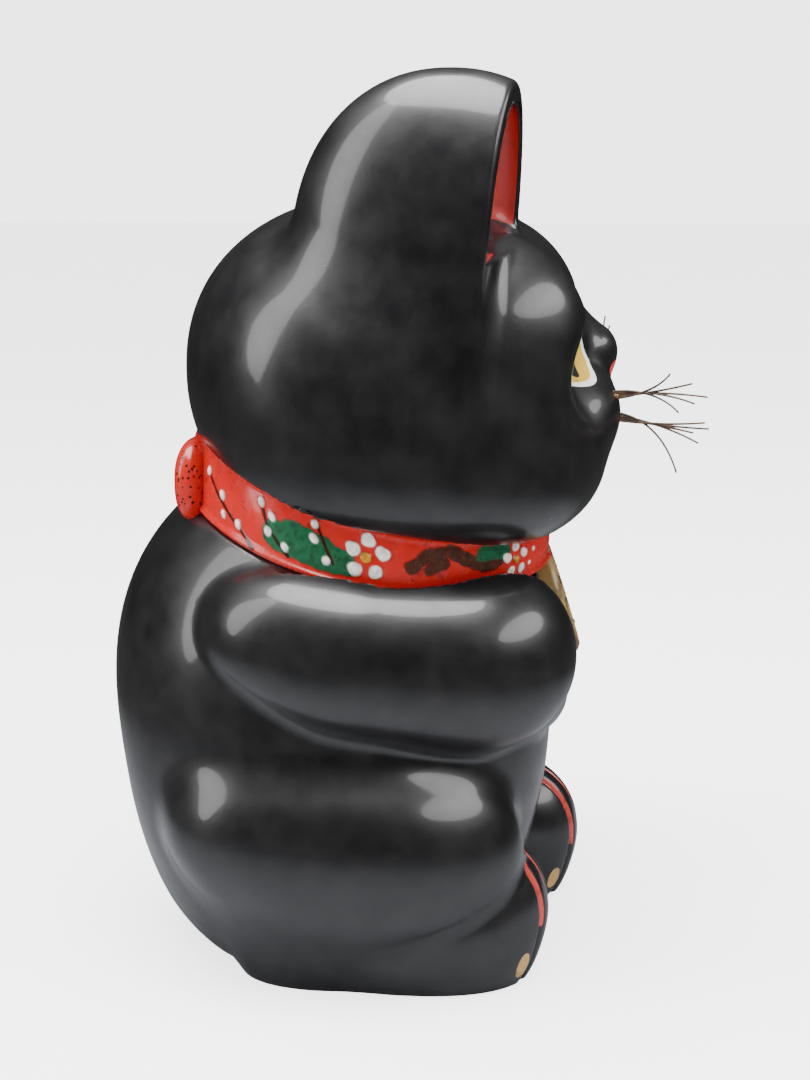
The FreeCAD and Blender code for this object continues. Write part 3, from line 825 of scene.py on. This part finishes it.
def make_slab():
    """The base slab fills the body's opening, and its vent hole goes right through."""
    inner = FIELDS["body"]
    low, high = node_box("base_slab")
    vent = (low + high) / 2

    def slab(p):
        thick = np.maximum(p[:, 2] - 6, 0.6 - p[:, 2])
        vent_hole = 10 - np.hypot(p[:, 0] - vent[0], p[:, 1] - vent[1])
        return soft_max(soft_max(inner(p) + 3.4, thick, 1.0), vent_hole, 1.0)
    closed_piece("slab", "base_slab", slab, low - (20, 20, 3), high + (20, 20, 3), 1.6, CLAY)


def make_bow():
    """A knot and two loops, pinched where they leave the knot."""
    knot = np.array([0, COLLAR[1] + 76, COLLAR[2] + 15])
    fields = [lump(knot + (0, 2, 0), (9, 8, 12), 2.3)]
    for side in (RIGHT, LEFT):
        turn = turn_about("Z", side * 14)
        loop = lump(knot + (side * 19, -2, 1), (18.5, 8, 18), 2.4, turn)
        folds = [limb(knot + (side * 7, 8, rise), knot + (side * 26, 7, rise * 3.2), 1.6, 0.8)
                 for rise in (-3, 0, 3)]
        fields.append(carve(3, loop, *folds))
    low, high = node_box("collar_bow")
    closed_piece("collar_bow_tied", "collar_bow", join(3, *fields), low - 12, high + 12, 0.9,
                 BOW_PAINT)


def make_coin():
    """An oval plate with a raised rim, bosses and ribs."""
    low, high = node_box("koban_coin")
    middle = np.array([0.0, low[1] + 14.5, (low[2] + high[2]) / 2 + 7])
    turn = turn_about("X", -18)

    def coin(p):
        q = (p - middle) @ turn
        oval = (np.sqrt((q[:, 0] / 20.0) ** 2 + (q[:, 2] / 25.0) ** 2) - 1) * 20.0
        ribs = 0.35 * np.cos(q[:, 2] * 1.5) * (np.abs(q[:, 0]) < 11) * (oval < -5)
        rim = 1.1 * np.exp(-((oval + 2.2) / 1.1) ** 2)
        bosses = np.max([1.7 * np.exp(-(q[:, 0] ** 2 + (q[:, 2] - z) ** 2) / 14) for z in (-13, 1, 14)], 0)
        front = -q[:, 1] - 3.2 - ribs - rim - bosses
        return soft_max(oval, np.maximum(front, q[:, 1] - 4.5), 1.5)
    closed_piece("koban", "koban_coin", coin, low - 12, high + 12, 0.8, GOLD)


# Each bristle: how far outward, forward and up it reaches from the root, and how much it arches.
FANS = {
    "right_upper": [(20, 24, 12, 2), (19, 33, 8, 2), (22, 39, 3, 3), (20, 34, 0, 3), (18, 28, -4, 3)],
    "right_lower": [(24, 38, 1, 4), (21, 40, -2, 3), (19, 34, -4, 3), (20, 36, -8, 4), (16, 28, -21, 7)],
    "left_upper": [(38, 3, 24, 3), (36, 5, 20, 3), (40, 1, 10, 2), (39, -4, 6, 2), (36, -8, 2, 2)],
    "left_lower": [(40, -2, 4, 2), (41, -6, 0, 2), (39, -10, -5, 3), (37, -12, -9, 3), (34, -13, -14, 4)],
}


def tube(path, radii, sides=8):
    """Points and faces of a round rod with closed ends."""
    points, faces = [], []
    for index, (at, radius) in enumerate(zip(path, radii)):
        ahead = path[min(index + 1, len(path) - 1)] - path[max(index - 1, 0)]
        ahead /= np.linalg.norm(ahead)
        across = np.cross(ahead, (0, 0, 1.0))
        across /= np.linalg.norm(across)
        up = np.cross(across, ahead)
        for k in range(sides):
            angle = 2 * math.pi * k / sides
            points.append(at + radius * (math.cos(angle) * across + math.sin(angle) * up))
    for ring in range(len(path) - 1):
        for k in range(sides):
            a, b = ring * sides + k, ring * sides + (k + 1) % sides
            faces.append([a, a + sides, b + sides, b])
    last = (len(path) - 1) * sides
    return points, faces + [list(range(sides)), [last + k for k in reversed(range(sides))]]


def make_whiskers(word):
    """Bristles bound together for their first stretch, then fanning out, and the bead of glue at the root."""
    low, high = node_box(f"whisker_glue_{word}")
    side = RIGHT if word.startswith("right") else LEFT
    root = np.array([side * 20.0, high[1] - 1.4, (low[2] + high[2]) / 2])
    fan = np.array([(side * outward, -forward, up) for outward, forward, up, _ in FANS[word]], float)
    bound = fan.mean(0) * 0.45
    points, faces = [], []
    for number, (reach, (_, _, _, bow_height)) in enumerate(zip(fan, FANS[word])):
        spread = np.array([0, 0, 0.75 * (number - 2)])
        share = np.linspace(0, 1, 18)[:, None]
        middle = bound * 1.3 + spread + (0, 0, bow_height * 0.7)
        path = root + (1 - share) ** 2 * spread + 2 * share * (1 - share) * middle + share ** 2 * reach
        part, sheets = tube(path, 0.55 - 0.17 * share[:, 0])
        faces += [[corner + len(points) for corner in sheet] for sheet in sheets]
        points += part
    obj = new_object(f"bristles_{word}", points, faces, materials=[BRISTLE])
    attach(obj, "root")
    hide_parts(f"whiskers_{word}")

    def bead(p):
        lumpy = 0.35 * np.sin(p[:, 0] * 2.1 + p[:, 2] * 1.3) * np.sin(p[:, 1] * 1.9)
        stem = limb(root, root + bound * 0.3, 1.9, 0.8)(p)
        return soft_min(lump(root, (3.0, 2.2, 2.8))(p), stem, 1.5) + lumpy * 0.5
    closed_piece(f"glue_{word}", f"whisker_glue_{word}", bead, low - 7, high + 7, 0.4, GLUE)


make_castings()
make_collar()
make_bow()
make_coin()
for word in ("right_upper", "right_lower", "left_upper", "left_lower"):
    make_whiskers(word)
make_slab()


# ================================================================ floor, light and camera
def make_floor():
    bpy.ops.mesh.primitive_plane_add(size=9.0, location=(0, 0, 0))
    floor = bpy.context.object
    floor.name = "floor"
    floor.data.materials.append(material("pale_floor", build_floor))


def build_floor(tree, shader):
    """Matt and nearly white. What the glaze mirrors of it is a painted reflection: glossy rays see a grey that
    fades to near black away from the cat, standing in for a table that ends close to the cat.
    """
    pale = ramp(tree, noise(tree, 6, 3), (0.3, grey(0.86)), (0.7, grey(0.90)))
    # painted reflection: for glossy rays the floor's own colour is swapped for a grey that darkens with
    # distance from the middle
    painted_floor_reflection = node(tree, "ShaderNodeMix", data_type="RGBA")
    tree.links.new(node(tree, "ShaderNodeLightPath").outputs["Is Glossy Ray"], painted_floor_reflection.inputs["Factor"])
    tree.links.new(pale, painted_floor_reflection.inputs["A"])
    away = node(tree, "ShaderNodeVectorMath", operation="LENGTH")
    tree.links.new(place_of(tree), away.inputs[0])
    tree.links.new(ramp(tree, away.outputs["Value"], (0.16, (0.26, 0.27, 0.29)), (0.42, grey(0.03))),
                   painted_floor_reflection.inputs["B"])
    tree.links.new(painted_floor_reflection.outputs["Result"], shader.inputs["Base Color"])
    shader.inputs["Roughness"].default_value = 0.7
    shader.inputs["Specular IOR Level"].default_value = 0.1
    shader.inputs["Emission Color"].default_value = (0.98, 0.99, 1.0, 1)
    lift = node(tree, "ShaderNodeMath", operation="MULTIPLY")
    tree.links.new(node(tree, "ShaderNodeLightPath").outputs["Is Camera Ray"], lift.inputs[0])
    lift.inputs[1].default_value = 2.6
    tree.links.new(lift.outputs[0], shader.inputs["Emission Strength"])


def area_light(name, place, target, size, power):
    light = bpy.data.lights.new(name, "AREA")
    light.shape = "ELLIPSE"
    light.size, light.size_y = size
    light.energy = power
    obj = bpy.data.objects.new(name, light)
    obj.location = place
    obj.rotation_euler = (Vector(target) - Vector(place)).to_track_quat("-Z", "Y").to_euler()
    bpy.context.scene.collection.objects.link(obj)


def make_world():
    """White behind the cat and for soft fill; the glaze mirrors a dim studio that is lighter overhead."""
    world = bpy.data.worlds.new("studio")
    world.use_nodes = True
    tree = world.node_tree
    background = tree.nodes["Background"]
    direction = node(tree, "ShaderNodeTexCoord").outputs["Generated"]
    parts = node(tree, "ShaderNodeSeparateXYZ")
    tree.links.new(direction, parts.inputs[0])
    room = ramp(tree, parts.outputs["Z"], (0.0, grey(0.03)), (0.35, grey(0.05)), (0.8, grey(0.30)),
                (1.0, grey(0.45)))
    path = node(tree, "ShaderNodeLightPath")
    for ray, brightness in (("Is Diffuse Ray", 0.9), ("Is Camera Ray", 3.6)):
        mix = node(tree, "ShaderNodeMix", data_type="RGBA")
        tree.links.new(path.outputs[ray], mix.inputs["Factor"])
        tree.links.new(room, mix.inputs["A"])
        mix.inputs["B"].default_value = (brightness, brightness, brightness, 1)
        room = mix.outputs["Result"]
    tree.links.new(room, background.inputs["Color"])
    bpy.context.scene.world = world


CAMERA_PLACE = Vector((-0.872, -0.03725, 0.370))
CAMERA_PITCH = math.radians(12.6)
CAMERA_YAW = math.radians(2.3)


def make_camera():
    """Level with the cat's ear tips, on its right side, looking slightly down and a little from the front."""
    camera = bpy.data.cameras.new("camera")
    camera.sensor_width = 36
    camera.lens = 69.33
    obj = bpy.data.objects.new("camera", camera)
    obj.location = CAMERA_PLACE
    look = Vector((math.cos(CAMERA_PITCH) * math.cos(CAMERA_YAW), math.cos(CAMERA_PITCH) * math.sin(CAMERA_YAW),
                   -math.sin(CAMERA_PITCH)))
    obj.rotation_euler = look.to_track_quat("-Z", "Y").to_euler()
    bpy.context.scene.collection.objects.link(obj)
    bpy.context.scene.camera = obj


make_floor()
make_world()
area_light("overhead", (-0.2, 0.1, 1.3), (0, 0, 0.1), (1.3, 1.0), 38)
area_light("behind_right", (-0.45, 1.3, 0.9), (0, 0, 0.2), (0.6, 1.7), 13)
area_light("front_right", (-0.35, -1.3, 1.0), (0, 0, 0.2), (1.7, 0.6), 13)
make_camera()
